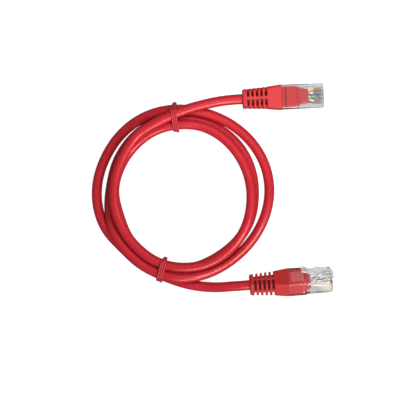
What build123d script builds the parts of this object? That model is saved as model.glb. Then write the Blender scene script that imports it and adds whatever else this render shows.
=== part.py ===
from build123d import *
import os
from math import cos, sin, tan, radians, degrees

os.makedirs("parts", exist_ok=True)

# ---------------------------------------------------------------- dimensions, mm
# The cable lies on a level surface at z = 0. X and Y are level, Z is up.
shift_x, shift_y = -43.30, -4.9         # moves the layout so that the origin lies under the middle of the two plugs

cable_d = 5.0                           # round PVC jacket of a four-pair cable
jacket_wall = 0.55
wire_d = 0.92                           # insulated conductor
core_d = 0.50                           # stranded copper core
core_bore_d = 0.52
row_pitch = 1.02                        # pitch of the eight contacts and wires

boot_neck_len = 12.2                    # slotted part of the boot
boot_len = 19.2                         # whole boot outside the plug
boot_rear = (9.2, 8.0, 2.3)             # width, thickness, corner radius
boot_mid = (10.7, 8.3, 1.7)
boot_front = (12.2, 8.7, 1.0)
slot_first, slot_pitch, slot_w = 2.05, 2.2, 1.1
slot_core_r = 2.9                       # what is left inside the slots
spine_w = 1.4                           # rib left at the middle of each face
tongue_end = 26.0                       # front of the boot's full tongue, inside the plug
tongue_w, tongue_h = 9.8, 6.5
tongue_front = 28.1                     # front of the tongue's lower step

plug_rear, plug_front = 18.3, 39.8      # 21.5 mm long housing, overlapped 0.9 mm by the boot
plug_w = 11.68
plug_h_rear, plug_h_front = 8.0, 6.6
cavity_w, cavity_h = 9.0, 5.2           # space for the tongue's step and the jacket
cavity_end = 35.3
channel_end = 38.7
row_z = -0.4                            # height of the wires' row in the plug
row_start = 35.3
contact_slot_w, contact_t = 0.40, 0.30
contact_rear, contact_front = 34.9, 39.0

latch_axis_x, latch_axis_z = 38.9, -3.85    # living hinge at the nose
latch_root_reach = 0.75                    # the root stands out in front of the nose
latch_wide, latch_narrow = 6.1, 3.25
latch_tip_x, latch_tip_z = 24.8, -9.0

tie_cord_d = 1.0
tie_band = 3.0                          # three turns side by side

# each plug: rear centre of the boot, insertion direction (angle in plan), roll of the contact side from straight up,
# and how far the housing stands out of the boot beyond its full seat
plug_layout = {
    "a": {"rear": (20.9, 49.6, 9.2), "heading": 2.7, "roll": 0.0, "jacket_front": 31.6, "jacket_cut": 32.2, "seat": 0.0},
    "b": {"rear": (24.5, -41.98, 7.05), "heading": 4.15, "roll": 133.0, "jacket_front": 30.0, "jacket_cut": 30.0, "seat": 0.7},
}

# free stretches of cable, corner points of the route
tail_a_route = [(20.9, 49.6, 9.2), (13.21, 49.24, 9.2), (2.8, 47.1, 10.6), (-3.2, 45.4, 10.95)]
tail_b_route = [(-11.95, -40.05, 3.7), (-6.0, -42.1, 3.9), (6.2, -43.5, 4.9), (16.82, -42.54, 7.05), (24.5, -41.98, 7.05)]

# the coil: centre, and for each 15 degrees the inner and outer radius of each layer of turns
coil_x, coil_y = -9.0, 2.0
base_in = [33.3, 33.8, 34.2, 34.4, 34.4, 34.2, 33.8, 33.0, 32.3, 31.8, 31.8, 32.3, 32.0, 30.8, 30.4, 31.2, 31.9, 32.2, 32.2, 32.0, 32.0, 32.4, 33.0, 33.3]
base_out = [46.1, 46.5, 46.5, 46.1, 45.5, 45.1, 45.0, 45.6, 45.7, 45.6, 45.2, 45.0, 44.9, 44.5, 43.4, 41.8, 42.3, 42.6, 40.2, 42.2, 42.8, 43.2, 44.1, 45.2]
mid_in = [31.9, 31.9, 32.0, 32.3, 32.8, 33.1, 32.7, 32.4, 31.9, 31.4, 31.1, 31.0, 30.4, 29.9, 30.2, 30.8, 31.4, 32.2, 32.7, 33.1, 33.1, 32.9, 32.6, 32.1]
mid_out = [36.9, 36.9, 37.2, 38.6, 42.8, 45.0, 45.2, 45.6, 43.8, 39.4, 36.6, 36.0, 38.0, 40.0, 40.5, 40.9, 41.8, 42.2, 40.6, 42.4, 40.4, 38.2, 37.8, 37.3]
top_angles = [97, 105, 120, 135, 150, 165, 180, 195, 210, 225, 240, 252, 262]
top_in = [36.7, 35.8, 34.9, 32.9, 31.5, 30.9, 30.6, 30.5, 30.5, 30.8, 31.4, 32.1, 32.7]
top_out = [43.4, 41.8, 40.3, 39.1, 37.1, 36.2, 35.8, 35.6, 35.8, 37.0, 40.6, 42.2, 42.4]
layer_1, layer_2, layer_3, layer_4 = 5.0, 8.4, 9.8, 11.8
crest_top = 13.9

# the bundle of turns where each tie grips it: (distance along the tie's plane, height) of the four strands
tie_top_at, tie_top_normal = (-12.75, 41.0), (0.9996, 0.030)
tie_top_strands = [(1.16, 11.25), (-4.0, 7.35), (-0.62, 3.54), (3.69, 6.29)]
tie_bottom_at, tie_bottom_normal = (-19.0, -35.2), (0.9844, -0.176)
tie_bottom_strands = [(3.68, 9.17), (3.62, 3.52), (-1.41, 8.72), (-2.02, 3.55)]


def placed(p):
    return Vector(p[0] + shift_x, p[1] + shift_y, p[2])


def corner_radii(points):
    """Arc radius at each corner: 0.45 of the shorter run over the tangent of half the turn."""
    radii = []
    for before, here, after in zip(points, points[1:], points[2:]):
        run_in, run_out = here - before, after - here
        turn = radians(run_in.get_angle(run_out))
        radii.append(0.45 * min(run_in.length, run_out.length) / tan(turn / 2))
    return radii


def ring_points(radii, angles=None):
    angles = angles or [15 * k for k in range(24)]
    return [
        (coil_x + shift_x + r * cos(radians(a)), coil_y + shift_y + r * sin(radians(a)))
        for r, a in zip(radii, angles)
    ]


# ---------------------------------------------------------------- the two ties
tie_planes = {
    "tie_top": (tie_top_at, tie_top_normal, tie_top_strands),
    "tie_bottom": (tie_bottom_at, tie_bottom_normal, tie_bottom_strands),
}
tie_frames = {
    name: Plane(
        origin=placed((at[0], at[1], 0)),
        x_dir=(-normal[1], normal[0], 0),
        z_dir=(normal[0], normal[1], 0),
    )
    for name, (at, normal, _) in tie_planes.items()
}
for tie_name, (at, normal, strands) in tie_planes.items():
    middle = tie_frames[tie_name].offset(-tie_band / 2)
    with BuildPart() as tie:
        with BuildSketch(middle) as band_outside:
            with Locations(*strands):
                Circle(cable_d / 2 + tie_cord_d)
            make_hull()
        extrude(amount=tie_band)
        with BuildSketch(middle) as band_inside:
            with Locations(*strands):
                Circle(cable_d / 2)
            make_hull()
        extrude(amount=tie_band, mode=Mode.SUBTRACT)
    tie.part.label = tie_name
    export_step(tie.part, f"parts/{tie_name}.step")

# ---------------------------------------------------------------- the coil, one closed envelope of all its turns
tail_a_end = placed(tail_a_route[-1])
tail_a_aim = placed(tail_a_route[-1]) - placed(tail_a_route[-2])
tail_b_start = placed(tail_b_route[0])
tail_b_aim = placed(tail_b_route[0]) - placed(tail_b_route[1])

with BuildPart() as cable_coil:
    with BuildSketch(Plane.XY) as base_layer:
        with BuildLine():
            Spline(*ring_points(base_out), periodic=True)
        make_face()
        with BuildLine():
            Spline(*ring_points(base_in), periodic=True)
        make_face(mode=Mode.SUBTRACT)
    extrude(amount=layer_1)
    with BuildSketch(Plane.XY.offset(layer_1)) as second_layer:
        with BuildLine():
            Spline(*ring_points(mid_out), periodic=True)
        make_face()
        with BuildLine():
            Spline(*ring_points(mid_in), periodic=True)
        make_face(mode=Mode.SUBTRACT)
    extrude(amount=layer_2 - layer_1)
    with BuildSketch(Plane.XY.offset(layer_2)) as inner_ridge:
        with BuildLine():
            Spline(*ring_points([r + 4.6 for r in mid_in]), periodic=True)
        make_face()
        with BuildLine():
            Spline(*ring_points([r + 0.4 for r in mid_in]), periodic=True)
        make_face(mode=Mode.SUBTRACT)
    extrude(amount=layer_3 - layer_2)
    with BuildSketch(Plane.XY.offset(layer_2)) as upper_turn:
        with BuildLine():
            outside = Spline(*ring_points(top_out, top_angles))
            inside = Spline(*ring_points(top_in, top_angles))
            Line(outside @ 0, inside @ 0)
            Line(outside @ 1, inside @ 1)
        make_face()
    extrude(amount=layer_4 - layer_2)
    with BuildSketch(Plane.XY.offset(layer_4)) as upper_crest:
        with BuildLine():
            crest_outside = Spline(*ring_points([r - 0.4 for r in top_out[:9]], top_angles[:9]))
            crest_inside = Spline(*ring_points([r + 0.4 for r in top_in[:9]], top_angles[:9]))
            Line(crest_outside @ 0, crest_inside @ 0)
            Line(crest_outside @ 1, crest_inside @ 1)
        make_face()
    extrude(amount=crest_top - layer_4)
    # the ends of the two outermost strands, where the free tails leave
    with BuildSketch(Plane(origin=tail_a_end, z_dir=tail_a_aim)) as strand_a:
        Circle(cable_d / 2)
    extrude(amount=9.5)
    with BuildSketch(Plane(origin=tail_b_start, z_dir=tail_b_aim)) as strand_b:
        Circle(cable_d / 2)
    extrude(amount=7.0)
    # at each tie the turns are gripped into a tight bundle
    for tie_name, (at, normal, strands) in tie_planes.items():
        middle = tie_frames[tie_name].offset(-tie_band / 2)
        with BuildSketch(middle) as grip_slab:
            with Locations((0, 8)):
                Rectangle(24, 22)
        extrude(amount=tie_band, mode=Mode.SUBTRACT)
        with BuildSketch(middle) as bundle:
            with Locations(*strands):
                Circle(cable_d / 2)
            make_hull()
        extrude(amount=tie_band)
cable_coil.part.label = "cable_coil"
export_step(cable_coil.part, "parts/cable_coil.step")

# ---------------------------------------------------------------- the two free tails
for tail_name, route in (("cable_tail_a", tail_a_route), ("cable_tail_b", tail_b_route)):
    points = [placed(p) for p in route]
    radii = corner_radii(points)
    with BuildPart() as tail:
        with BuildLine() as tail_path:
            FilletPolyline(*points, radius=radii)
        with BuildSketch(Plane(origin=points[0], z_dir=points[1] - points[0])) as tail_section:
            Circle(cable_d / 2)
        sweep()
    length = tail_path.wires()[0].length
    volume = tail.part.volume
    print(tail_name, "radii", [round(r, 1) for r in radii], "length", round(length, 2),
          "volume ratio", round(volume / (length * 3.14159265 * cable_d**2 / 4), 4))
    tail.part.label = tail_name
    export_step(tail.part, f"parts/{tail_name}.step")

# ---------------------------------------------------------------- the two plugs
# In a plug's own frame x runs in the insertion direction from the boot's rear, y towards contact 1, z towards the contact side.
# the eight wires lie in a ring of 1.3 mm radius inside the round cable
ring = {1: (1.2, -0.5), 2: (1.2, 0.5), 3: (0.5, -1.2), 4: (0.5, 1.2), 5: (-0.5, -1.2), 6: (-0.5, 1.2), 7: (-1.2, -0.5), 8: (-1.2, 0.5)}
wire_names = {1: "white_orange", 2: "orange", 3: "white_green", 4: "blue", 5: "white_blue", 6: "green", 7: "white_brown", 8: "brown"}
blade_at = [(4.5 - k) * row_pitch for k in range(1, 9)]

for side, layout in plug_layout.items():
    heading, roll = radians(layout["heading"]), radians(layout["roll"])
    along = Vector(cos(heading), sin(heading), 0)
    level = Vector(-sin(heading), cos(heading), 0)
    contact_side = Vector(0, 0, 1) * cos(roll) - level * sin(roll)
    plug = Plane(origin=placed(layout["rear"]), x_dir=along, z_dir=contact_side)
    across = Plane(origin=plug.origin, x_dir=plug.y_dir, z_dir=plug.x_dir)
    beside = Plane(origin=plug.origin, x_dir=plug.x_dir, z_dir=-plug.y_dir)
    jacket_front, jacket_cut, seat = layout["jacket_front"], layout["jacket_cut"], layout["seat"]
    # the same planes for the housing, the latch and the contacts, at the depth where the plug sits in its boot
    seated = Plane(origin=plug.origin + plug.x_dir * seat, x_dir=plug.x_dir, z_dir=plug.z_dir)
    across_seated = across.offset(seat)
    beside_seated = Plane(origin=seated.origin, x_dir=plug.x_dir, z_dir=-plug.y_dir)

    with BuildPart() as boot:
        for x, (w, h, r) in ((0, boot_rear), (boot_neck_len, boot_mid), (boot_len, boot_front)):
            with BuildSketch(across.offset(x)):
                RectangleRounded(w, h, r)
        loft(ruled=True)
        # five slots at each corner, between a rib at the middle of each face
        with BuildSketch(*[across.offset(slot_first + slot_pitch * k) for k in range(5)]) as slots:
            Rectangle(14, 12)
            Rectangle(spine_w, 12, mode=Mode.SUBTRACT)
            Rectangle(14, spine_w, mode=Mode.SUBTRACT)
            Circle(slot_core_r, mode=Mode.SUBTRACT)
        extrude(amount=slot_w, mode=Mode.SUBTRACT)
        # pocket over the housing's rear, and the tongue that fills the housing
        with BuildSketch(across.offset(plug_rear)) as lip:
            RectangleRounded(plug_w, plug_h_rear, 0.6)
        extrude(amount=boot_len - plug_rear, mode=Mode.SUBTRACT)
        with BuildSketch(across.offset(plug_rear)) as tongue:
            RectangleRounded(tongue_w, tongue_h, 0.5)
        extrude(amount=tongue_end - plug_rear)
        with BuildSketch(across.offset(tongue_end)) as tongue_step:
            RectangleRounded(cavity_w, cavity_h, 0.5)
        extrude(amount=tongue_front - tongue_end)
        with BuildSketch(across) as cable_bore:
            Circle(cable_d / 2)
        extrude(amount=tongue_front, mode=Mode.SUBTRACT)
    boot.part.label = f"boot_{side}"
    export_step(boot.part, f"parts/boot_{side}.step")

    with BuildPart() as housing:
        with BuildSketch(beside_seated) as housing_side:
            with BuildLine():
                Polyline(
                    (plug_rear, -plug_h_rear / 2), (plug_rear, plug_h_rear / 2), (26.4, plug_h_rear / 2),
                    (27.6, plug_h_front / 2), (plug_front - 0.9, plug_h_front / 2), (plug_front, plug_h_front / 2 - 1.2),
                    (plug_front, -plug_h_front / 2 + 0.3), (plug_front - 0.3, -plug_h_front / 2), (27.6, -plug_h_front / 2),
                    (26.4, -plug_h_rear / 2), close=True,
                )
            make_face()
        extrude(amount=plug_w / 2, both=True)
        fillet(housing.faces().filter_by(Axis((0, 0, 0), tuple(plug.y_dir))).edges(), radius=0.3)
        # space for the boot's tongue, the jacket and the row of wires
        with BuildSketch(across_seated.offset(plug_rear)) as tongue_pocket:
            RectangleRounded(tongue_w, tongue_h, 0.5)
        extrude(amount=tongue_end - plug_rear, mode=Mode.SUBTRACT)
        with BuildSketch(across_seated.offset(tongue_end)) as jacket_space:
            RectangleRounded(cavity_w, cavity_h, 0.5)
        extrude(amount=cavity_end - tongue_end, mode=Mode.SUBTRACT)
        with BuildSketch(across_seated.offset(cavity_end)) as wire_channel:
            with Locations((0, row_z)):
                Rectangle(row_pitch * 7 + wire_d + 0.12, wire_d + 0.10)
        extrude(amount=channel_end - cavity_end, mode=Mode.SUBTRACT)
        # the comb that holds the contacts, open at the top and at the nose
        with BuildSketch(beside_seated) as blade_slot:
            with BuildLine():
                Polyline(
                    (contact_rear, row_z), (contact_rear, 4.0), (plug_front + 1, 4.0), (plug_front + 1, 1.2),
                    (contact_front, 0.8), (contact_front, row_z), close=True,
                )
            make_face()
        slot_cut = extrude(amount=contact_slot_w / 2, both=True, mode=Mode.PRIVATE)
        for y in blade_at:
            add(slot_cut.moved(Location(plug.y_dir * y)), mode=Mode.SUBTRACT)
        # recess of the strain relief bar on the contact side
        with BuildSketch(seated.offset(plug_h_front / 2)) as bar_recess:
            with Locations((30.4, 0)):
                Rectangle(3.4, 8.0)
        extrude(amount=-0.5, mode=Mode.SUBTRACT)
    housing.part.label = f"housing_{side}"
    export_step(housing.part, f"parts/housing_{side}.step")

    with BuildPart() as latch:
        with BuildSketch(beside_seated) as latch_side:
            with BuildLine():
                Polyline(
                    (latch_axis_x, latch_axis_z - 0.30), (plug_front + 0.45, latch_axis_z - 0.30),
                    (plug_front + latch_root_reach, latch_axis_z), (plug_front + latch_root_reach, latch_axis_z + 0.28),
                    (latch_axis_x, latch_axis_z + 0.28), (38.3, latch_axis_z + 0.25),
                    (36.2, -4.50), (31.6, -6.05), (latch_tip_x, latch_tip_z + 0.9), (latch_tip_x - 0.1, latch_tip_z),
                    (latch_tip_x + 0.6, latch_tip_z), (31.0, -6.85), (31.6, -7.45), (35.9, -5.55), (37.2, latch_axis_z - 0.75),
                    close=True,
                )
            make_face()
            with Locations((latch_axis_x, latch_axis_z)):
                Circle(0.42)
        extrude(amount=latch_wide / 2, both=True)
        # behind its two locking shoulders the lever narrows
        with BuildSketch(seated.offset(-12)) as stem_sides:
            with Locations((27.8, (latch_wide + latch_narrow) / 4 + 0.5), (27.8, -(latch_wide + latch_narrow) / 4 - 0.5)):
                Rectangle(7.6, (latch_wide - latch_narrow) / 2 + 1.0)
        extrude(amount=10, mode=Mode.SUBTRACT)
    latch.part.label = f"latch_{side}"
    export_step(latch.part, f"parts/latch_{side}.step")

    with BuildPart() as contacts:
        with BuildSketch(beside_seated) as blade_side:
            with BuildLine():
                Polyline(
                    (contact_rear + 0.1, 2.5), (contact_front - 0.7, 2.5), (contact_front - 0.1, 1.9), (contact_front - 0.1, row_z + 0.5),
                    (37.9, row_z + 0.5), (37.7, row_z + 0.27), (37.3, row_z + 0.27), (37.1, row_z + 0.5),
                    (36.5, row_z + 0.5), (36.3, row_z + 0.27), (35.9, row_z + 0.27), (35.7, row_z + 0.5),
                    (contact_rear + 0.1, row_z + 0.5), close=True,
                )
            make_face()
        blade = extrude(amount=contact_t / 2, both=True, mode=Mode.PRIVATE)
        for y in blade_at:
            add(blade.moved(Location(plug.y_dir * y)))
    contacts.part.label = f"contacts_{side}"
    export_step(contacts.part, f"parts/contacts_{side}.step")

    with BuildPart() as jacket:
        with BuildSketch(across) as round_part:
            Circle(cable_d / 2)
        extrude(amount=tongue_front)
        # in front of the tongue the jacket is spread wide, then narrows to its cut end
        with BuildSketch(across.offset(tongue_front)):
            RectangleRounded(cable_d - 0.02, cable_d - 0.02, cable_d / 2 - 0.04)
        with BuildSketch(across.offset(tongue_front + 0.5)):
            RectangleRounded(8.2, 4.6, 1.6)
        with BuildSketch(across.offset(jacket_cut)):
            RectangleRounded(6.9, 3.4, 1.4)
        loft(ruled=True)
        with BuildSketch(across) as jacket_bore:
            Circle(cable_d / 2 - jacket_wall)
        extrude(amount=tongue_front, mode=Mode.SUBTRACT)
        with BuildSketch(across.offset(tongue_front)):
            RectangleRounded(cable_d - 2 * jacket_wall, cable_d - 2 * jacket_wall, cable_d / 2 - jacket_wall - 0.01)
        with BuildSketch(across.offset(tongue_front + 0.5)):
            RectangleRounded(7.2, 3.6, 1.1)
        with BuildSketch(across.offset(jacket_cut)):
            RectangleRounded(6.1, 2.4, 1.0)
        loft(ruled=True, mode=Mode.SUBTRACT)
    jacket.part.label = f"jacket_end_{side}"
    export_step(jacket.part, f"parts/jacket_end_{side}.step")

    # each wire: ring in the cable, two staggered layers at the jacket's mouth, one row under the contacts
    core_routes = {}
    for pin in range(1, 9):
        k = 4.5 - pin
        up = -1 if pin % 2 else 1
        yr, zr = ring[pin]
        route = [
            (0, yr, zr),
            (tongue_front, yr, zr),
            (jacket_front, 0.66 * k, 0.40 * up),
            ((jacket_front + row_start + seat) / 2, 0.86 * k, row_z * 0.6 + 0.24 * up),
            (row_start + seat, row_pitch * k, row_z),
            (channel_end + seat - 0.1, row_pitch * k, row_z),
        ]
        core_routes[pin] = [plug.from_local_coords(p) for p in route]
        with BuildPart() as wire:
            with BuildLine() as wire_path:
                FilletPolyline(*core_routes[pin], radius=1.4)
            with BuildSketch(Plane(origin=core_routes[pin][0], z_dir=core_routes[pin][1] - core_routes[pin][0])) as wire_section:
                Circle(wire_d / 2)
                Circle(core_bore_d / 2, mode=Mode.SUBTRACT)
            sweep()
            # where the contact's teeth have cut the insulation
            for tooth_x in (36.1, 37.5):
                with BuildSketch(seated.offset(row_z + 0.27)) as tooth_cut:
                    with Locations((tooth_x, row_pitch * k)):
                        Rectangle(0.84, contact_t)
                extrude(amount=0.5, mode=Mode.SUBTRACT)
        wire.part.label = f"wire_{wire_names[pin]}_{side}"
        export_step(wire.part, f"parts/wire_{wire_names[pin]}_{side}.step")

    with BuildPart() as cores:
        for pin in range(1, 9):
            with BuildLine() as core_path:
                FilletPolyline(*core_routes[pin], radius=1.4)
            with BuildSketch(Plane(origin=core_routes[pin][0], z_dir=core_routes[pin][1] - core_routes[pin][0])) as core_section:
                Circle(core_d / 2)
            sweep(sections=core_section.sketch, path=core_path.line)
    cores.part.label = f"copper_cores_{side}"
    export_step(cores.part, f"parts/copper_cores_{side}.step")
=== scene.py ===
from math import atan2, cos, degrees, pi, radians, sin, sqrt

import bpy
import numpy as np
from mathutils import Matrix, Vector


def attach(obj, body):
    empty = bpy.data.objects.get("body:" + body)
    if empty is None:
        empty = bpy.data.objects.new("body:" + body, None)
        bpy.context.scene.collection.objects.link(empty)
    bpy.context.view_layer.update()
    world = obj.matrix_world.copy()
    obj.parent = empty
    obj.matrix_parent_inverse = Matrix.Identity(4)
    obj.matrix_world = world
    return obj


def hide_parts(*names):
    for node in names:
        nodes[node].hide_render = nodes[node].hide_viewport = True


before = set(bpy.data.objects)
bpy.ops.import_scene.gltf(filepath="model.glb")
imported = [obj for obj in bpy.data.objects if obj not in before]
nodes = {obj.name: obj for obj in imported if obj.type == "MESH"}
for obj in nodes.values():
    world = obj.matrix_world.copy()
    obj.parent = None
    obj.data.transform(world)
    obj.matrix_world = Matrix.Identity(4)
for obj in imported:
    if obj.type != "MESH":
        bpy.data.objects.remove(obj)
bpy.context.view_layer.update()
scene = bpy.context.scene

# The layout's own numbers are millimetres, moved so that the origin lies under the middle of the two plugs.
SHIFT_X, SHIFT_Y = -43.30, -4.9
MM = 0.001


def placed(p):
    return Vector(((p[0] + SHIFT_X) * MM, (p[1] + SHIFT_Y) * MM, p[2] * MM))


# ------------------------------------------------------------------ camera, straight above the cable
camera_data = bpy.data.cameras.new("camera")
camera = bpy.data.objects.new("camera", camera_data)
scene.collection.objects.link(camera)
camera_data.sensor_width = 36.0
camera_data.lens = 99.9
camera_data.clip_start, camera_data.clip_end = 0.01, 20.0
camera.location = (SHIFT_X * MM, SHIFT_Y * MM, 0.555)
camera.rotation_euler = (0.0, 0.0, 0.0)
scene.camera = camera

# ------------------------------------------------------------------ the cable, one line from boot to boot
CABLE_D = 5.0
CABLE_ROUTE = [
    (20.9, 49.6, 9.2), (13.21, 49.24, 9.2), (2.8, 47.1, 10.6), (-9.2, 43.7, 11.3), (-20.6, 38.5, 11.2),
    (-31.2, 32.2, 11.0), (-37.9, 21.5, 11.6), (-42.1, 9.7, 12.5), (-42.3, -2.6, 12.1), (-38.3, -14.4, 10.1),
    (-30.8, -24.2, 9.7), (-20.6, -31.4, 9.4), (-8.4, -33.9, 8.3), (4.0, -31.9, 7.5), (14.6, -25.2, 7.6),
    (22.3, -15.3, 7.6), (25.6, -3.2, 7.4), (25.1, 9.4, 7.3), (20.5, 21.0, 7.0), (12.4, 30.6, 6.8),
    (1.5, 36.8, 7.1), (-11.0, 37.7, 7.6), (-23.1, 34.5, 6.5), (-32.9, 26.9, 6.3), (-39.9, 16.4, 6.9),
    (-43.0, 4.3, 7.5), (-40.1, -7.6, 6.4), (-36.0, -19.1, 3.6), (-27.1, -28.0, 3.4), (-15.8, -33.6, 3.5),
    (-3.1, -34.1, 2.7), (8.5, -28.9, 2.5), (18.7, -20.8, 2.5), (25.3, -10.4, 2.5), (27.3, 2.1, 2.5),
    (26.0, 14.6, 2.5), (20.6, 25.9, 2.6), (11.5, 34.6, 2.5), (0.2, 39.7, 2.6), (-12.3, 40.9, 3.8),
    (-24.4, 38.2, 2.9), (-34.3, 30.4, 2.5), (-41.2, 20.0, 2.5), (-44.3, 8.0, 2.5), (-45.5, -4.8, 3.5),
    (-42.8, -16.4, 7.1), (-35.5, -26.1, 7.8), (-25.7, -34.3, 8.4), (-14.0, -38.5, 9.0), (-1.6, -38.3, 6.9),
    (9.9, -34.0, 3.4), (20.1, -26.8, 2.5), (28.2, -17.3, 2.6), (33.5, -5.9, 2.5), (35.0, 6.5, 2.5),
    (32.3, 18.7, 2.5), (25.7, 29.3, 2.5), (16.2, 37.5, 3.5), (5.0, 42.6, 5.1), (-7.3, 45.1, 6.2),
    (-19.6, 44.2, 6.4), (-31.0, 39.8, 4.0), (-40.6, 31.8, 2.5), (-47.3, 21.3, 2.5), (-51.3, 9.5, 2.5),
    (-51.4, -3.1, 2.5), (-47.2, -14.9, 2.5), (-38.4, -24.1, 2.5), (-29.3, -32.6, 3.3), (-17.9, -38.0, 3.6),
    (-6.0, -42.1, 3.9), (6.2, -43.5, 4.9), (16.82, -42.54, 7.05), (24.5, -41.98, 7.05),
]


def cord_curve(name, points, radius, resolution=12, bevel_resolution=7):
    """A round cord along one NURBS spline."""
    data = bpy.data.curves.new(name, "CURVE")
    data.dimensions = "3D"
    data.resolution_u = resolution
    data.bevel_depth = radius
    data.bevel_resolution = bevel_resolution
    data.use_fill_caps = True
    spline = data.splines.new("NURBS")
    spline.points.add(len(points) - 1)
    for target, p in zip(spline.points, points):
        target.co = (p[0], p[1], p[2], 1.0)
    spline.order_u = 3
    spline.use_endpoint_u = True
    obj = bpy.data.objects.new(name, data)
    scene.collection.objects.link(obj)
    return obj


cable = cord_curve("cable", [placed(p) for p in CABLE_ROUTE], CABLE_D / 2 * MM)

# ------------------------------------------------------------------ frames of the two plugs
# x runs in the insertion direction from the boot's rear, y towards contact 1, z towards the contact side
PLUGS = {
    "a": {"rear": (20.9, 49.6, 9.2), "heading": 2.7, "roll": 0.0, "jacket_front": 31.6, "seat": 0.0},
    "b": {"rear": (24.5, -41.98, 7.05), "heading": 4.15, "roll": 133.0, "jacket_front": 30.0, "seat": 0.7},
}
for plug in PLUGS.values():
    heading, roll = radians(plug["heading"]), radians(plug["roll"])
    x_dir = Vector((cos(heading), sin(heading), 0))
    level = Vector((-sin(heading), cos(heading), 0))
    z_dir = Vector((0, 0, 1)) * cos(roll) - level * sin(roll)
    y_dir = z_dir.cross(x_dir)
    plug["x"], plug["y"], plug["z"] = x_dir, y_dir, z_dir
    plug["origin"] = placed(plug["rear"])
    turn = Matrix((x_dir, y_dir, z_dir)).transposed().to_4x4()
    plug["matrix"] = Matrix.Translation(plug["origin"]) @ turn @ Matrix.Scale(MM, 4)


# ------------------------------------------------------------------ mesh helpers
def mesh_object(name, vertices, faces, smooth=True, sharp_angle=None):
    data = bpy.data.meshes.new(name)
    data.from_pydata([tuple(v) for v in vertices], [], faces)
    data.validate()
    data.update()
    if smooth:
        data.shade_smooth()
        if sharp_angle is not None:
            data.set_sharp_from_angle(angle=radians(sharp_angle))
    obj = bpy.data.objects.new(name, data)
    scene.collection.objects.link(obj)
    return obj


def ring_faces(count_rings, count, closed=False):
    faces = []
    for i in range(count_rings - (0 if closed else 1)):
        j = (i + 1) % count_rings
        for k in range(count):
            n = (k + 1) % count
            faces.append((i * count + k, i * count + n, j * count + n, j * count + k))
    return faces


ANGLES = np.linspace(0, 2 * pi, 180, endpoint=False)
COS, SIN = np.cos(ANGLES), np.sin(ANGLES)


def section(width, height, corner):
    """Distance from the centre to a rounded rectangle's edge in each direction."""
    a, b = width / 2, height / 2
    low, high = np.zeros_like(ANGLES), np.full_like(ANGLES, a + b)
    for _ in range(40):
        mid = (low + high) / 2
        qx, qy = np.abs(mid * COS) - (a - corner), np.abs(mid * SIN) - (b - corner)
        outside = np.hypot(np.maximum(qx, 0), np.maximum(qy, 0)) + np.minimum(np.maximum(qx, qy), 0) - corner
        low, high = np.where(outside < 0, mid, low), np.where(outside < 0, high, mid)
    return (low + high) / 2


# ------------------------------------------------------------------ the boots
NECK, BOOT_LEN = 12.2, 19.2
REAR, MID, FRONT = (9.2, 8.0, 2.3), (10.7, 8.3, 1.7), (12.2, 8.7, 1.0)
SLOT_FIRST, SLOT_PITCH, SLOT_W, SLOT_CORE, SPINE = 2.05, 2.2, 1.1, 2.9, 1.4
TONGUE_W, TONGUE_H, TONGUE_END = 9.8, 6.5, 26.0
STEP_W, STEP_H, STEP_END = 9.0, 5.2, 28.1
PLUG_REAR, PLUG_W, PLUG_H = 18.3, 11.68, 8.0


def boot_outside(x):
    if x <= NECK:
        t, a, b = x / NECK, REAR, MID
    else:
        t, a, b = (x - NECK) / (BOOT_LEN - NECK), MID, FRONT
    return section(*[p + (q - p) * t for p, q in zip(a, b)])


def boot_slot(x, outside):
    spine_y = np.minimum(outside, SPINE / 2 / np.maximum(np.abs(SIN), 1e-6))
    spine_z = np.minimum(outside, SPINE / 2 / np.maximum(np.abs(COS), 1e-6))
    return np.minimum(outside, np.maximum(np.maximum(spine_y, spine_z), SLOT_CORE))


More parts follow.
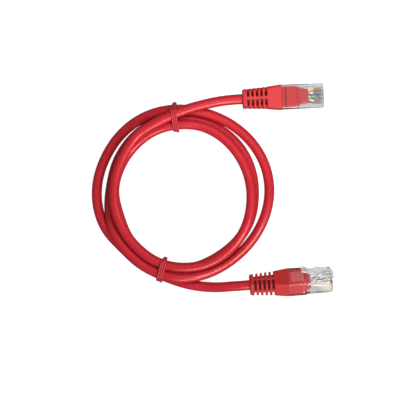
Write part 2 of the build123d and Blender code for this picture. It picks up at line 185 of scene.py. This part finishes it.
def make_boot(name, plug):
    rings = []

    def ring(x, radius):
        rings.append((x, np.broadcast_to(radius, ANGLES.shape)))

    edge, root = 0.32, 0.22
    bore = CABLE_D / 2 + 0.005
    # rear face and its rounded edge
    ring(0.0, bore)
    outside = boot_outside(0)
    for t in (0.75, 0.5, 0.25):
        ring(0.0, bore + (outside - 0.55 - bore) * (1 - t))
    for k in range(7):
        a = pi / 2 * k / 6
        ring(0.55 * (1 - cos(a)), boot_outside(0.55 * (1 - cos(a))) - 0.55 * (1 - sin(a)))
    walls = []
    for k in range(5):
        x = SLOT_FIRST + SLOT_PITCH * k
        walls.append((x, x + SLOT_W))
    for start, end in walls:
        # the rib's rounded front edge, the wall down into the slot, the slot and the wall up again
        for k in range(5):
            s = edge * (1 - sin(pi / 2 * k / 4)) if k else edge
            x = start - s
            outside = boot_outside(x)
            slot = boot_slot(x, outside)
            e = np.minimum(edge, (outside - slot) * 0.5)
            ring(x, outside - e * (1 - sqrt(max(0.0, 1 - (1 - s / edge) ** 2))))
        for k in range(4):
            s = root * (1 - cos(pi / 2 * k / 3))
            x = start + s
            outside = boot_outside(x)
            slot = boot_slot(x, outside)
            e = np.minimum(root, (outside - slot) * 0.5)
            ring(x, slot + e * (1 - sqrt(max(0.0, 1 - (1 - s / root) ** 2))))
        for k in range(4):
            s = root * (1 - cos(pi / 2 * (3 - k) / 3))
            x = end - s
            outside = boot_outside(x)
            slot = boot_slot(x, outside)
            e = np.minimum(root, (outside - slot) * 0.5)
            ring(x, slot + e * (1 - sqrt(max(0.0, 1 - (1 - s / root) ** 2))))
        for k in range(5):
            s = edge * (1 - cos(pi / 2 * k / 4))
            x = end + s
            outside = boot_outside(x)
            slot = boot_slot(x, outside)
            e = np.minimum(edge, (outside - slot) * 0.5)
            ring(x, outside - e * (1 - sqrt(max(0.0, 1 - (1 - s / edge) ** 2))))
    for x in (13.2, 14.4, 15.6, 16.8, 17.8):
        ring(x, boot_outside(x))
    # front edge, rounded over to the housing
    for k in range(6):
        a = pi / 2 * k / 5
        x = BOOT_LEN - 0.45 + 0.45 * sin(a)
        lip = section(PLUG_W + 0.04, PLUG_H + 0.04, 0.6)
        ring(x, np.maximum(boot_outside(x) - 0.45 * (1 - cos(a)), lip))
    lip = section(PLUG_W + 0.02, PLUG_H + 0.02, 0.6)
    ring(BOOT_LEN, lip)
    ring(PLUG_REAR - 0.01, lip)
    # the tongue is moulded hard against the clear plastic, so its skin lies a hair inside it
    tongue = section(TONGUE_W + 0.04, TONGUE_H + 0.04, 0.5)
    ring(PLUG_REAR - 0.01, tongue)
    # the groove across the tongue's contact side is full of the same clear plastic, so it is drawn flush and only a
    # painted shade marks it
    up = np.clip(SIN, 0, None)

    def lowered(depth):
        return np.where(up > 0, np.minimum(tongue, (TONGUE_H / 2 + 0.02 - depth) / np.maximum(up, 1e-6)), tongue)

    for x, depth in ((20.75, 0.0), (20.82, 0.0), (21.18, 0.0), (21.25, 0.0), (TONGUE_END - 0.1, 0.0)):
        ring(x, lowered(depth))
    ring(TONGUE_END + 0.02, tongue - 0.1)
    step = section(STEP_W + 0.04, STEP_H + 0.04, 0.5)
    ring(TONGUE_END + 0.02, step)
    ring(STEP_END - 0.22, step)
    ring(STEP_END - 0.02, step - 0.2)
    ring(STEP_END - 0.02, bore)
    count = len(ANGLES)
    vertices = []
    for x, radius in rings:
        for c, s, r in zip(COS, SIN, radius):
            vertices.append(plug["matrix"] @ Vector((x, r * c, r * s)))
    obj = mesh_object(name, vertices, ring_faces(len(rings), count, closed=True), sharp_angle=50)
    return obj


# ------------------------------------------------------------------ the ties, each a thin cord wound about the turns
TIE_D = 1.0
TIES = {
    "tie_top": {"at": (-12.75, 41.0), "normal": (0.9996, 0.030), "slant": 1.1, "lean": 1.05, "peak": 0.60,
                "strands": [(1.16, 11.25), (-4.0, 7.35), (-0.62, 3.54), (3.69, 6.29)]},
    "tie_bottom": {"at": (-19.0, -35.2), "normal": (0.9844, -0.176), "slant": -1.2, "lean": 0.30, "peak": 0.30,
                   "strands": [(3.68, 9.17), (3.62, 3.52), (-1.41, 8.72), (-2.02, 3.55)]},
}


def hull_of(points):
    """Convex hull, anticlockwise."""
    points = sorted(points)
    halves = []
    for run in (points, points[::-1]):
        half = []
        for p in run:
            while len(half) > 1 and (half[-1][0] - half[-2][0]) * (p[1] - half[-2][1]) - (half[-1][1] - half[-2][1]) * (p[0] - half[-2][0]) <= 0:
                half.pop()
            half.append(p)
        halves.append(half[:-1])
    return halves[0] + halves[1]


def wrap_line(strands, distance, step=0.35):
    """The closed line at that distance round the strands' centres, in even steps."""
    points = []
    for a, z in strands:
        for k in range(96):
            t = 2 * pi * k / 96
            points.append((a + distance * cos(t), z + distance * sin(t)))
    outline = np.array(hull_of(points))
    outline = np.vstack([outline, outline[:1]])
    run = np.concatenate([[0], np.cumsum(np.hypot(*np.diff(outline, axis=0).T))])
    n = int(run[-1] / step)
    s = np.linspace(0, run[-1], n, endpoint=False)
    return np.stack([np.interp(s, run, outline[:, 0]), np.interp(s, run, outline[:, 1])], 1)


def tube(points, radius, sides=14, closed=False):
    """Vertices and faces of a round tube along points, with its ends rounded off."""
    points = [Vector(p) for p in points]
    count = len(points)
    tangents = []
    for i in range(count):
        a, b = points[max(i - 1, 0)], points[min(i + 1, count - 1)]
        tangents.append((b - a).normalized())
    normal = tangents[0].orthogonal().normalized()
    vertices, rings = [], 0
    for i, (p, t) in enumerate(zip(points, tangents)):
        if i:
            normal = tangents[i - 1].rotation_difference(t) @ normal
        side = t.cross(normal)
        ends = [(0.0, 1.0)]
        if i == 0:
            ends = [(-sin(a), cos(a)) for a in (radians(80), radians(55), radians(28))] + ends
        elif i == count - 1:
            ends = ends + [(sin(a), cos(a)) for a in (radians(28), radians(55), radians(80))]
        for shift, scale in ends:
            for k in range(sides):
                a = 2 * pi * k / sides
                vertices.append(p + t * (shift * radius) + (normal * cos(a) + side * sin(a)) * (radius * scale))
            rings += 1
    faces = ring_faces(rings, sides)
    faces.append(tuple(reversed(range(sides))))
    faces.append(tuple((rings - 1) * sides + k for k in range(sides)))
    return vertices, faces


def make_tie(name, tie):
    """Three turns of cord, drawn together where the tie was twisted shut, with both ends tucked in underneath."""
    at, normal = tie["at"], Vector((*tie["normal"], 0)).normalized()
    along = Vector((-normal.y, normal.x, 0))
    origin = placed((*at, 0))
    line = wrap_line(tie["strands"], CABLE_D / 2 + TIE_D / 2)
    line = np.roll(line, -int(np.argmin(line[:, 1])), axis=0)
    ahead = np.roll(line, -2, axis=0) - np.roll(line, 2, axis=0)
    outward = np.stack([ahead[:, 1], -ahead[:, 0]], 1) / np.hypot(ahead[:, 0], ahead[:, 1])[:, None]
    n = len(line)
    high, low = line[:, 0].max(), line[:, 0].min()
    path = []
    for i in range(3 * n + 1):
        (a, z), (out_a, out_z) = line[i % n], outward[i % n]
        lie = i / n - 1.5
        drawn = min(1.0, max(0.0, (a - high + 3.0) / 3.0))
        drawn = drawn * drawn * (3 - 2 * drawn)
        foot = min(1.0, max(0.0, (low + 1.6 - a) / 1.6))
        across = lie * (1 - 0.40 * drawn) + tie["lean"] * drawn + tie["slant"] * ((high + low) / 2 - a) / (high - low)
        lift = tie["peak"] * drawn * max(0.0, 1 - abs(lie) / 0.95) + 0.35 * foot * max(0.0, lie)
        path.append(origin + (along * (a + out_a * lift) + normal * across + Vector((0, 0, z + out_z * lift))) * MM)
    vertices, faces = tube(path, TIE_D / 2 * MM)
    return mesh_object(name, vertices, faces)


# ------------------------------------------------------------------ materials
def lin(r, g, b):
    def f(c):
        c = c / 255
        return c / 12.92 if c <= 0.04045 else ((c + 0.055) / 1.055) ** 2.4
    return (f(r), f(g), f(b), 1.0)


def start_material(name):
    m = bpy.data.materials.new(name)
    m.use_nodes = True
    tree = m.node_tree
    tree.nodes.clear()
    out = tree.nodes.new("ShaderNodeOutputMaterial")
    shader = tree.nodes.new("ShaderNodeBsdfPrincipled")
    tree.links.new(shader.outputs["BSDF"], out.inputs["Surface"])
    return m, tree, shader


def noise(tree, coords, scale, detail=3.0, roughness=0.55):
    n = tree.nodes.new("ShaderNodeTexNoise")
    n.inputs["Scale"].default_value = scale
    n.inputs["Detail"].default_value = detail
    n.inputs["Roughness"].default_value = roughness
    tree.links.new(coords, n.inputs["Vector"])
    return n.outputs["Fac"]


def ramp(tree, value, stops):
    r = tree.nodes.new("ShaderNodeValToRGB")
    elements = r.color_ramp.elements
    while len(elements) > 1:
        elements.remove(elements[-1])
    elements[0].position, elements[0].color = stops[0]
    for position, colour in stops[1:]:
        elements.new(position).color = colour
    tree.links.new(value, r.inputs["Fac"])
    return r.outputs["Color"]


def remap(tree, value, from_low, from_high, low, high):
    m = tree.nodes.new("ShaderNodeMapRange")
    m.inputs["From Min"].default_value, m.inputs["From Max"].default_value = from_low, from_high
    m.inputs["To Min"].default_value, m.inputs["To Max"].default_value = low, high
    tree.links.new(value, m.inputs["Value"])
    return m.outputs["Result"]


def bump(tree, shader, height, strength, distance):
    b = tree.nodes.new("ShaderNodeBump")
    b.inputs["Strength"].default_value = strength
    b.inputs["Distance"].default_value = distance
    tree.links.new(height, b.inputs["Height"])
    tree.links.new(b.outputs["Normal"], shader.inputs["Normal"])


def maths(tree, operation, a, b=None):
    n = tree.nodes.new("ShaderNodeMath")
    n.operation = operation
    for socket, value in zip(n.inputs, (a, b)):
        if value is None:
            continue
        if isinstance(value, (int, float)):
            socket.default_value = value
        else:
            tree.links.new(value, socket)
    return n.outputs[0]


def mix_colour(tree, factor, a, b):
    n = tree.nodes.new("ShaderNodeMix")
    n.data_type = "RGBA"
    tree.links.new(factor, n.inputs["Factor"])
    for socket, value in ((n.inputs[6], a), (n.inputs[7], b)):
        if isinstance(value, tuple):
            socket.default_value = value
        else:
            tree.links.new(value, socket)
    return n.outputs[2]


def object_coords(tree):
    return tree.nodes.new("ShaderNodeTexCoord").outputs["Object"]


def plug_coords(tree, coords, plug):
    """x, y and z in the plug's own frame, in millimetres."""
    away = tree.nodes.new("ShaderNodeVectorMath")
    away.operation = "SUBTRACT"
    tree.links.new(coords, away.inputs[0])
    away.inputs[1].default_value = plug["origin"]
    found = []
    for axis in ("x", "y", "z"):
        d = tree.nodes.new("ShaderNodeVectorMath")
        d.operation = "DOT_PRODUCT"
        tree.links.new(away.outputs[0], d.inputs[0])
        d.inputs[1].default_value = plug[axis] * 1000
        found.append(d.outputs["Value"])
    return found


def inside(tree, value, low, high, soft):
    """1 between low and high, with soft edges."""
    up = remap(tree, value, low - soft, low + soft, 0, 1)
    down = remap(tree, value, high - soft, high + soft, 1, 0)
    return maths(tree, "MULTIPLY", up, down)


def pvc(name, dark, light, rough, grain, depth, specular=0.38, sheen=(1.0, 0.52, 0.44, 1)):
    m, tree, shader = start_material(name)
    coords = object_coords(tree)
    broad = noise(tree, coords, 55, 4.0)
    tree.links.new(ramp(tree, broad, [(0.32, dark), (0.68, light)]), shader.inputs["Base Color"])
    fine = noise(tree, coords, grain, 1.0)
    smudge = noise(tree, coords, 130, 2.0)
    both = maths(tree, "ADD", maths(tree, "MULTIPLY", fine, 0.5), maths(tree, "MULTIPLY", smudge, 0.5))
    tree.links.new(remap(tree, both, 0.3, 0.7, rough[0], rough[1]), shader.inputs["Roughness"])
    shader.inputs["IOR"].default_value = 1.53
    shader.inputs["Specular IOR Level"].default_value = specular
    shader.inputs["Specular Tint"].default_value = sheen
    bump(tree, shader, noise(tree, coords, grain, 1.0), 0.2, depth)
    return m


jacket_red = pvc("jacket_red", (0.340, 0.010, 0.018, 1), (0.380, 0.014, 0.023, 1), (0.25, 0.30), 220, 0.00002)
tie_red = pvc("tie_red", (0.335, 0.013, 0.024, 1), (0.390, 0.022, 0.034, 1), (0.34, 0.46), 1800, 0.00002)



def boot_material(name, plug):
    """Satin moulded PVC, with painted shade down in its slots and in the groove across its tongue."""
    m, tree, shader = start_material(name)
    coords = object_coords(tree)
    x, y, z = plug_coords(tree, coords, plug)
    broad = noise(tree, coords, 90, 4.0)
    tone = ramp(tree, broad, [(0.32, (0.365, 0.020, 0.021, 1)), (0.68, (0.395, 0.024, 0.025, 1))])
    # painted shade: inside the slots the colour darkens towards the deep red below as the surface nears the cable,
    # where shade falls
    depth = maths(tree, "SQRT", maths(tree, "ADD", maths(tree, "MULTIPLY", y, y), maths(tree, "MULTIPLY", z, z)))
    shade = maths(tree, "MULTIPLY", remap(tree, depth, 3.1, 4.0, 1, 0), inside(tree, x, 1.95, 12.1, 0.1))
    # painted shade along the groove across the tongue's contact side
    groove = maths(tree, "MULTIPLY", inside(tree, x, 20.72, 21.28, 0.05), remap(tree, z, 2.4, 2.6, 0, 1))
    shade = maths(tree, "MAXIMUM", shade, groove)
    # the deep red here is the painted shade colour
    tree.links.new(mix_colour(tree, shade, tone, (0.110, 0.003, 0.005, 1)), shader.inputs["Base Color"])
    fine = noise(tree, coords, 2600, 3.0)
    tree.links.new(remap(tree, fine, 0.3, 0.7, 0.42, 0.56), shader.inputs["Roughness"])
    shader.inputs["IOR"].default_value = 1.53
    shader.inputs["Specular IOR Level"].default_value = 0.16
    bump(tree, shader, fine, 0.35, 0.00002)
    return m


def let_lamps_through(tree, shader):
    """Lamps shine through clear plastic instead of leaving a hard shadow in it."""
    out = next(n for n in tree.nodes if n.type == "OUTPUT_MATERIAL")
    path = tree.nodes.new("ShaderNodeLightPath")
    passed = tree.nodes.new("ShaderNodeBsdfTransparent")
    passed.inputs["Color"].default_value = (0.94, 0.95, 0.95, 1)
    both = tree.nodes.new("ShaderNodeMixShader")
    tree.links.new(path.outputs["Is Shadow Ray"], both.inputs["Fac"])
    tree.links.new(shader.outputs["BSDF"], both.inputs[1])
    tree.links.new(passed.outputs["BSDF"], both.inputs[2])
    tree.links.new(both.outputs["Shader"], out.inputs["Surface"])


def clear_plastic(name, plug, frosted, transmission):
    """Clear polycarbonate with faint flow marks; the housing has a matt patch on its latch side."""
    m, tree, shader = start_material(name)
    coords = object_coords(tree)
    x, y, z = plug_coords(tree, coords, plug)
    cloud = noise(tree, coords, 260, 3.0)
    tree.links.new(ramp(tree, cloud, [(0.3, (0.93, 0.955, 0.955, 1)), (0.7, (0.97, 0.985, 0.98, 1))]), shader.inputs["Base Color"])
    roughness = remap(tree, cloud, 0.3, 0.7, 0.06, 0.11)
    if frosted:
        patch = maths(tree, "MULTIPLY", inside(tree, x, 19.6 + plug["seat"], 25.9 + plug["seat"], 0.12), inside(tree, y, -2.9, 3.3, 0.12))
        patch = maths(tree, "MULTIPLY", patch, remap(tree, z, -3.9, -3.7, 1, 0))
        # the side walls beside the contacts are hazy from the mould
        haze = maths(tree, "MULTIPLY", inside(tree, x, 32.5, 41.0, 0.8), remap(tree, maths(tree, "ABSOLUTE", y), 5.3, 5.6, 0, 1))
        clear = remap(tree, haze, 0, 1, transmission, 0.97)
        roughness = maths(tree, "ADD", roughness, maths(tree, "MULTIPLY", maths(tree, "MAXIMUM", patch, haze), 0.25))
        tree.links.new(maths(tree, "SUBTRACT", clear, maths(tree, "MULTIPLY", patch, 0.06)), shader.inputs["Transmission Weight"])
    else:
        shader.inputs["Transmission Weight"].default_value = transmission
    tree.links.new(roughness, shader.inputs["Roughness"])
    shader.inputs["IOR"].default_value = 1.53
    shader.inputs["Specular IOR Level"].default_value = 0.4
    bump(tree, shader, noise(tree, coords, 300, 1.0), 0.15, 0.00003)
    let_lamps_through(tree, shader)
    return m


def metal(name, dark, light, rough, streaks):
    m, tree, shader = start_material(name)
    coords = object_coords(tree)
    tint = noise(tree, coords, 700, 4.0)
    tree.links.new(ramp(tree, tint, [(0.3, dark), (0.7, light)]), shader.inputs["Base Color"])
    fine = noise(tree, coords, streaks, 3.0)
    tree.links.new(remap(tree, fine, 0.3, 0.7, rough[0], rough[1]), shader.inputs["Roughness"])
    shader.inputs["Metallic"].default_value = 1.0
    bump(tree, shader, fine, 0.3, 0.00001)
    return m


gold = metal("gold", lin(176, 166, 138), lin(198, 190, 166), (0.36, 0.50), 3000)
copper = metal("copper", lin(184, 110, 76), lin(220, 146, 108), (0.25, 0.45), 5000)

WHITE = lin(236, 234, 228)
WIRES = {
    "white_orange": (1, lin(226, 112, 30)), "orange": (2, lin(226, 112, 30)), "white_green": (3, lin(34, 128, 62)),
    "blue": (4, lin(20, 84, 150)), "white_blue": (5, lin(20, 84, 150)), "green": (6, lin(34, 128, 62)),
    "white_brown": (7, lin(112, 58, 34)), "brown": (8, lin(112, 58, 34)),
}


def wire_material(name, plug, pin, colour, white):
    m, tree, shader = start_material(name)
    coords = object_coords(tree)
    mottle = noise(tree, coords, 420, 3.0)
    deeper = tuple(c * 0.82 for c in colour[:3]) + (1.0,)
    tone = ramp(tree, mottle, [(0.3, deeper), (0.7, colour)])
    if white:
        # a coloured stripe that winds slowly along the insulation
        x, y, z = plug_coords(tree, coords, plug)
        centre = maths(tree, "SUBTRACT", y, (4.5 - pin) * 1.02)
        lean = maths(tree, "ADD", maths(tree, "MULTIPLY", x, 0.34), maths(tree, "MULTIPLY", centre, 0.55))
        lean = maths(tree, "ADD", lean, maths(tree, "MULTIPLY", z, 0.35))
        stripe = maths(tree, "FRACT", maths(tree, "ADD", lean, 0.17 * pin))
        mask = inside(tree, stripe, 0.30, 0.58, 0.03)
        base = ramp(tree, mottle, [(0.3, tuple(c * 0.9 for c in WHITE[:3]) + (1.0,)), (0.7, WHITE)])
        tone = mix_colour(tree, mask, base, tone)
    tree.links.new(tone, shader.inputs["Base Color"])
    tree.links.new(remap(tree, mottle, 0.3, 0.7, 0.28, 0.42), shader.inputs["Roughness"])
    bump(tree, shader, noise(tree, coords, 2400, 2.0), 0.2, 0.00001)
    return m


def dress(obj, m):
    obj.data.materials.clear()
    obj.data.materials.append(m)


# ------------------------------------------------------------------ build and ride
dress(cable, jacket_red)
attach(cable, "root")
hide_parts("cable_coil", "cable_tail_a", "cable_tail_b")

for name in TIES:
    tie = make_tie(name + "_cord", TIES[name])
    dress(tie, tie_red)
    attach(tie, "root")
    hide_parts(name)

for side, plug in PLUGS.items():
    boot = make_boot(f"boot_{side}_moulding", plug)
    dress(boot, boot_material(f"boot_red_{side}", plug))
    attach(boot, "root")
    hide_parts(f"boot_{side}")
    dress(nodes[f"jacket_end_{side}"], jacket_red)
    dress(nodes[f"housing_{side}"], clear_plastic(f"clear_housing_{side}", plug, True, 0.99))
    dress(nodes[f"latch_{side}"], clear_plastic(f"clear_latch_{side}", plug, False, 0.90))
    dress(nodes[f"contacts_{side}"], gold)
    dress(nodes[f"copper_cores_{side}"], copper)
    for wire, (pin, colour) in WIRES.items():
        dress(nodes[f"wire_{wire}_{side}"], wire_material(f"wire_{wire}_{side}", plug, pin, colour, wire.startswith("white")))

# ------------------------------------------------------------------ floor and soft studio light
floor = mesh_object("floor", [(-3, -3, 0), (3, -3, 0), (3, 3, 0), (-3, 3, 0)], [(0, 1, 2, 3)], smooth=False)
floor_material, tree, shader = start_material("floor_white")
shader.inputs["Base Color"].default_value = (0.28, 0.28, 0.28, 1)
shader.inputs["Roughness"].default_value = 0.9
shader.inputs["Specular IOR Level"].default_value = 0.1
shader.inputs["Emission Color"].default_value = (1, 1, 1, 1)
shader.inputs["Emission Strength"].default_value = 0.08
# the studio table is lit evenly white, and throws less of that light back on the cable
path = tree.nodes.new("ShaderNodeLightPath")
surface = shader.outputs["BSDF"]
for ray, strength in (("Is Glossy Ray", 0.14), ("Is Transmission Ray", 0.60), ("Is Camera Ray", 0.80)):
    glow = tree.nodes.new("ShaderNodeEmission")
    glow.inputs["Strength"].default_value = strength
    seen = tree.nodes.new("ShaderNodeMixShader")
    tree.links.new(path.outputs[ray], seen.inputs["Fac"])
    tree.links.new(surface, seen.inputs[1])
    if ray == "Is Camera Ray":
        both = tree.nodes.new("ShaderNodeAddShader")
        tree.links.new(glow.outputs["Emission"], both.inputs[0])
        tree.links.new(shader.outputs["BSDF"], both.inputs[1])
        tree.links.new(both.outputs["Shader"], seen.inputs[2])
    else:
        tree.links.new(glow.outputs["Emission"], seen.inputs[2])
    surface = seen.outputs["Shader"]
tree.links.new(surface, next(n for n in tree.nodes if n.type == "OUTPUT_MATERIAL").inputs["Surface"])
floor_material.cycles.emission_sampling = "NONE"
dress(floor, floor_material)

world = bpy.data.worlds.new("studio")
scene.world = world
world.use_nodes = True
tree = world.node_tree
split = tree.nodes.new("ShaderNodeSeparateXYZ")
tree.links.new(tree.nodes.new("ShaderNodeTexCoord").outputs["Generated"], split.inputs[0])
sky = ramp(tree, split.outputs["Z"], [(0.05, (0.25, 0.25, 0.25, 1)), (0.75, (0.42, 0.42, 0.42, 1))])
tree.links.new(sky, tree.nodes["Background"].inputs["Color"])
tree.nodes["Background"].inputs["Strength"].default_value = 1.0
backdrop = tree.nodes.new("ShaderNodeBackground")
backdrop.inputs["Strength"].default_value = 1.0
backdrop.inputs["Color"].default_value = (1, 1, 1, 1)
seen = tree.nodes.new("ShaderNodeMixShader")
tree.links.new(tree.nodes.new("ShaderNodeLightPath").outputs["Is Camera Ray"], seen.inputs["Fac"])
tree.links.new(tree.nodes["Background"].outputs["Background"], seen.inputs[1])
tree.links.new(backdrop.outputs["Background"], seen.inputs[2])
tree.links.new(seen.outputs["Shader"], tree.nodes["World Output"].inputs["Surface"])
world.cycles.sampling_method = "NONE"


def soft_light(name, where, aim, size, watts, mirrored=True, lights=True):
    data = bpy.data.lights.new(name, "AREA")
    data.shape = "SQUARE"
    data.size = size
    data.energy = watts
    lamp = bpy.data.objects.new(name, data)
    lamp.location = where
    lamp.rotation_euler = (Vector(aim) - Vector(where)).to_track_quat("-Z", "Y").to_euler()
    lamp.visible_glossy = mirrored
    lamp.visible_diffuse = lights
    lamp.visible_transmission = False
    scene.collection.objects.link(lamp)
    return lamp


middle = (SHIFT_X * MM, SHIFT_Y * MM, 0.0)
soft_light("key", (0.42, -1.15, 1.05), middle, 0.8, 23.0, mirrored=False)
soft_light("side", (-0.005, 0.065, 0.16), (-0.01, 0.05, 0.0), 0.10, 0.30, mirrored=False)
soft_light("fill", (0.045, -0.150, 0.060), (0.030, -0.045, 0.003), 0.06, 0.05, mirrored=False)
# small lamps that only draw the highlights along the glossy jacket
soft_light("glint_near", (0.026, -0.057, 0.125), (-0.015, -0.03, 0.0), 0.035, 0.11, lights=False)
for name, azimuth, height in (("glint_right", -36, 0.54), ("glint_front", -72, 0.40)):
    where = (SHIFT_X * MM + 0.6 * cos(radians(azimuth)), 0.6 * sin(radians(azimuth)), height)
    soft_light(name, where, middle, 0.26, 3.4, lights=False)

scene.view_settings.view_transform = "Standard"
